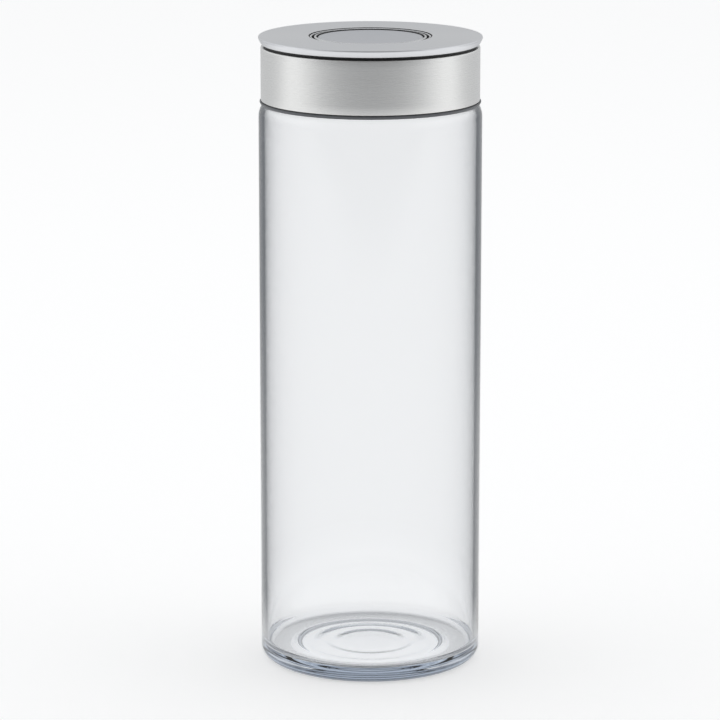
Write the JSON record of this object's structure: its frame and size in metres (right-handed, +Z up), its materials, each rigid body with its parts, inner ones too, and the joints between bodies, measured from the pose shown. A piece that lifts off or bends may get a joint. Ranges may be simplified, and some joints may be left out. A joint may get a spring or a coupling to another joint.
{
  "type": "lidded glass canister",
  "caption": "Tall clear glass storage jar with a necked-in shoulder and a brushed-steel push-button lid whose flush button pops up to release the seal.",
  "frame": {"origin": "centre of the jar's base on the plane it stands on", "axes": "+Z up along the jar's axis, -Y towards the viewer"},
  "size_m": [0.097, 0.097, 0.2775],
  "materials": {
    "clear_glass": "clear pressed and blown glass, faintly grey-blue in its thickness",
    "brushed_steel": "stainless steel brushed round the band",
    "plate_steel": "stainless steel brushed in fine straight lines",
    "bezel_steel": "turned stainless steel with a polished edge",
    "grey_silicone": "matte grey silicone",
    "clear_silicone": "milky translucent silicone",
    "black_plastic": "matte black moulded plastic",
    "white_plastic": "satin off-white moulded plastic",
    "foam_bond": "dark mounting foam",
    "spring_steel": "bright drawn steel"
  },
  "bodies": {
    "jar": {"glass_jar": "clear_glass"},
    "lid": {"shoulder_gasket": "grey_silicone", "collar_band": "brushed_steel", "top_plate": "plate_steel", "plate_bond": "foam_bond", "lid_housing": "black_plastic", "wiper_ring": "grey_silicone", "plug_base": "white_plastic", "mouth_seal": "clear_silicone", "cover_screw_1": "spring_steel", "cover_screw_2": "spring_steel", "cover_screw_3": "spring_steel", "cover_screw_4": "spring_steel", "latch_wire": "spring_steel", "return_spring": "spring_steel"},
    "button": {"button_bezel": "bezel_steel", "button_disc": "plate_steel", "button_bond": "foam_bond", "plunger": "black_plastic", "seal_driver": "white_plastic", "driver_screw_1": "spring_steel", "driver_screw_2": "spring_steel", "driver_screw_3": "spring_steel", "heart_cam": "white_plastic"}
  },
  "joints": [
    {"name": "lid_lift", "type": "slide", "parent": "jar", "child": "lid", "axis": [0, 0, 1], "range_m": [0, 0.06]},
    {"name": "button_press", "type": "slide", "parent": "lid", "child": "button", "axis": [0, 0, 1], "range_m": [-0.001, 0.009], "deforming": ["return_spring", "latch_wire"]}
  ]
}
